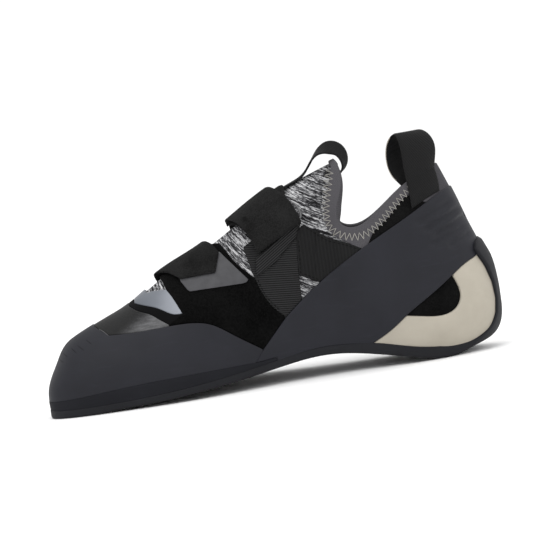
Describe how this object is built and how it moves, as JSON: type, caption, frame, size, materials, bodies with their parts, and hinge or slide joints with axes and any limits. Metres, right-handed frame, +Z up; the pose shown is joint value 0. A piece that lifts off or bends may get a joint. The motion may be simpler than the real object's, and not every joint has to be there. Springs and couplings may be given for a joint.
{
  "type": "climbing shoe",
  "caption": "Low strap-fastened climbing shoe: knitted sock upper, rubber toe rand and heel sling, tan heel insert, thin arched sole and pull loops, standing empty.",
  "frame": {"origin": "centre of the bounding box's bottom face, on the floor the shoe stands on", "axes": "+X from the toe to the heel, -Y towards the inner side of the foot, +Z up"},
  "size_m": [0.2501, 0.0882, 0.1252],
  "materials": {
    "knit_grey": "heathered rib knit",
    "insole_grey": "flat fleece",
    "rubber_sole": "ground matt rubber",
    "rubber_dark": "smooth satin rubber",
    "rubber_tan": "smooth moulded rubber",
    "toe_texture": "scaly grip texture",
    "film_dark": "smooth film",
    "film_grey": "smooth film",
    "fleece_black": "loop fleece",
    "webbing_black": "ribbed webbing",
    "suede_black": "napped microsuede",
    "tip_grey": "satin",
    "ring_dark": "satin",
    "binding_grey": "folded knit edge with a zigzag stitch"
  },
  "bodies": {
    "root": {"upper": "knit_grey", "insole": "insole_grey", "outsole": "rubber_sole", "sole_band": "rubber_sole", "toe_rand": "rubber_dark", "heel_sling": "rubber_dark", "heel_insert_inner": "rubber_tan", "heel_insert_outer": "rubber_tan", "toe_patch": "toe_texture", "vamp_strip": "film_dark", "vamp_panel": "film_grey", "loop_patch": "fleece_black", "side_webbing": "webbing_black", "ring_webbing": "webbing_black", "heel_loop": "webbing_black", "tongue_loop": "webbing_black", "collar_panel": "suede_black", "front_strap": "suede_black", "rear_strap": "suede_black", "front_strap_tip": "tip_grey", "strap_ring": "ring_dark", "collar_binding": "binding_grey"}
  },
  "joints": []
}
